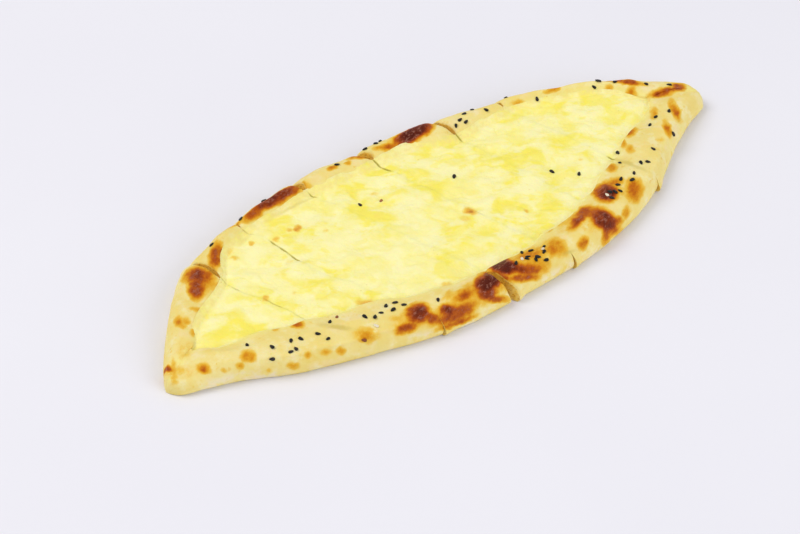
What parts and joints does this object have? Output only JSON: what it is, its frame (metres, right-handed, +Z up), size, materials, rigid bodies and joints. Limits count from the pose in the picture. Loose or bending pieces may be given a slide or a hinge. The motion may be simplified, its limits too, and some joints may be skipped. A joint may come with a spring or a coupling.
{
  "type": "cheese flatbread",
  "caption": "Boat-shaped baked flatbread with folded rims and melted cheese filling, cut across into slices that lie together, topped with black seeds.",
  "frame": {"origin": "middle of the footprint, on the flat bottom that rests on the table", "axes": "+X along the boat from one pointed end to the other, +Y across it, +Z up"},
  "size_m": [0.405, 0.1574, 0.017],
  "materials": {
    "crust": "baked dough, dry and matt",
    "cheese": "melted cheese, satin"
  },
  "bodies": {
    "root": {"crust_1": "crust", "crust_2": "crust", "crust_3": "crust", "crust_4": "crust", "crust_5": "crust", "crust_6": "crust", "crust_7": "crust", "cheese_1": "cheese", "cheese_2": "cheese", "cheese_3": "cheese", "cheese_4": "cheese", "cheese_5": "cheese", "cheese_6": "cheese", "cheese_7": "cheese"}
  },
  "joints": []
}
